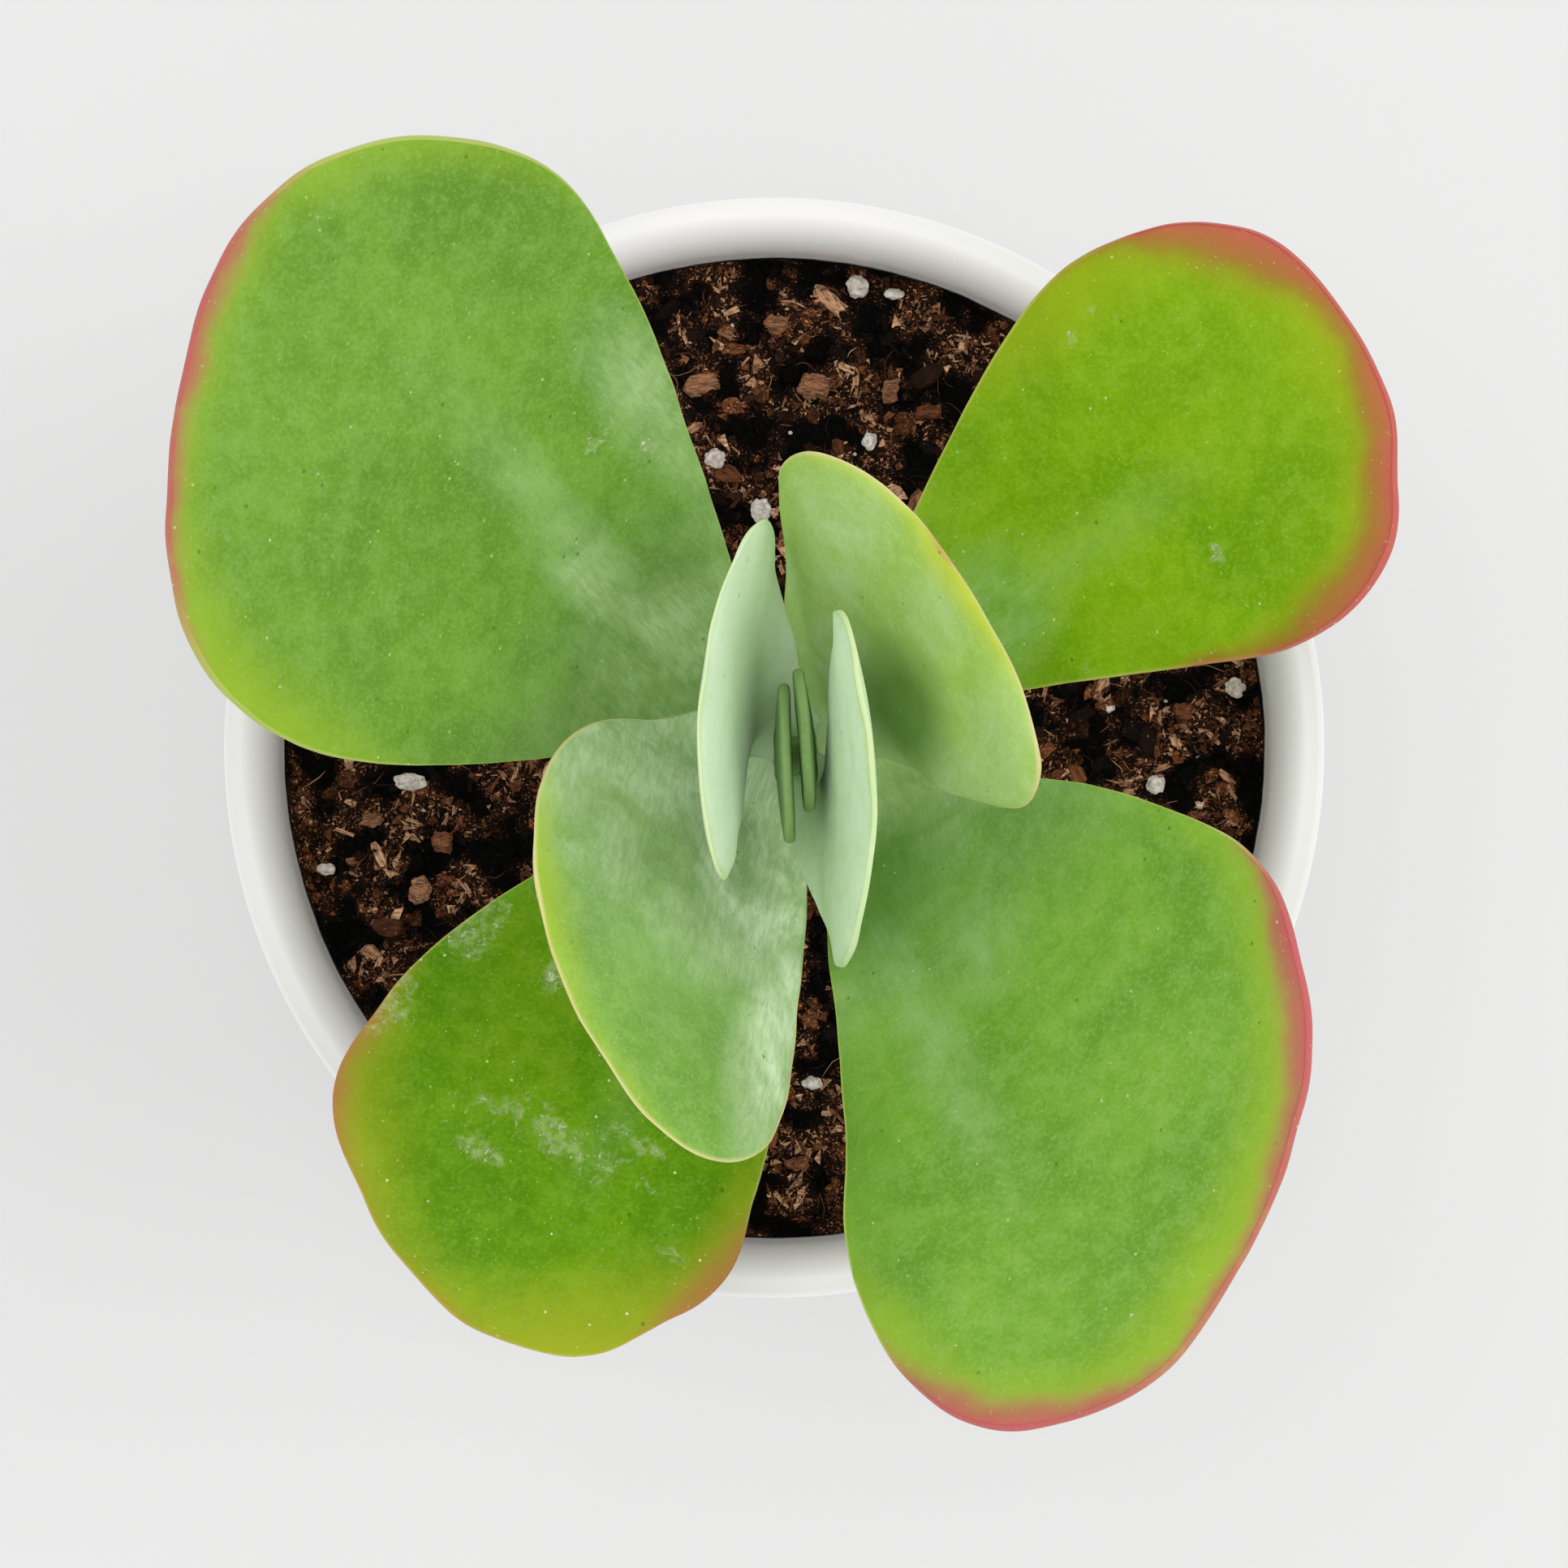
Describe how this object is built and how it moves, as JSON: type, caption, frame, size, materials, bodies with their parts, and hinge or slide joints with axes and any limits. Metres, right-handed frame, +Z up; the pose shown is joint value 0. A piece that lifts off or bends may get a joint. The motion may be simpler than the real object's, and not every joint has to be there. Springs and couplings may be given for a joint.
{
  "type": "potted kalanchoe",
  "caption": "Young paddle-leaved succulent with opposite pairs of broad rounded leaves, growing upright in dark potting mix in a round white glazed pot.",
  "frame": {"origin": "middle of the pot's flat underside, on the pot's axis", "axes": "+Z up along the pot's axis, +X to the right and +Y away from a person who looks down at the plant with its largest leaf at the upper left"},
  "size_m": [0.133, 0.1347, 0.201],
  "materials": {
    "glaze": "glossy white glaze",
    "soil": "loose dark peat and bark, rough and matt",
    "root": "fibrous",
    "stem": "smooth green stem with pale rings at its nodes",
    "leaf_old": "satin fleshy leaf, yellow-green with a red margin",
    "leaf_grown": "satin fleshy leaf, mid green with a grey bloom towards its base and a pink margin",
    "leaf_young": "satin fleshy leaf, grey-green with a thin yellow margin",
    "leaf_inner": "matt fleshy leaf under a pale bloom, with a pale yellow margin",
    "perlite": "rough and chalky",
    "bark": "rough, dry"
  },
  "bodies": {
    "root": {"pot": "glaze", "soil": "soil", "roots": "root", "stem": "stem", "leaf_low_right": "leaf_old", "leaf_low_left": "leaf_old", "leaf_large_left": "leaf_grown", "leaf_large_right": "leaf_grown", "leaf_cupped_right": "leaf_young", "leaf_cupped_left": "leaf_young", "leaf_inner_left": "leaf_inner", "leaf_inner_right": "leaf_inner", "leaf_tip_left": "leaf_inner", "leaf_tip_right": "leaf_inner", "perlite_1": "perlite", "perlite_2": "perlite", "perlite_3": "perlite", "perlite_4": "perlite", "perlite_5": "perlite", "perlite_6": "perlite", "perlite_7": "perlite", "perlite_8": "perlite", "perlite_9": "perlite", "perlite_10": "perlite", "bark_1": "bark", "bark_2": "bark", "bark_3": "bark", "bark_4": "bark", "bark_5": "bark", "bark_6": "bark", "bark_7": "bark", "bark_8": "bark", "bark_9": "bark", "bark_10": "bark"}
  },
  "joints": []
}
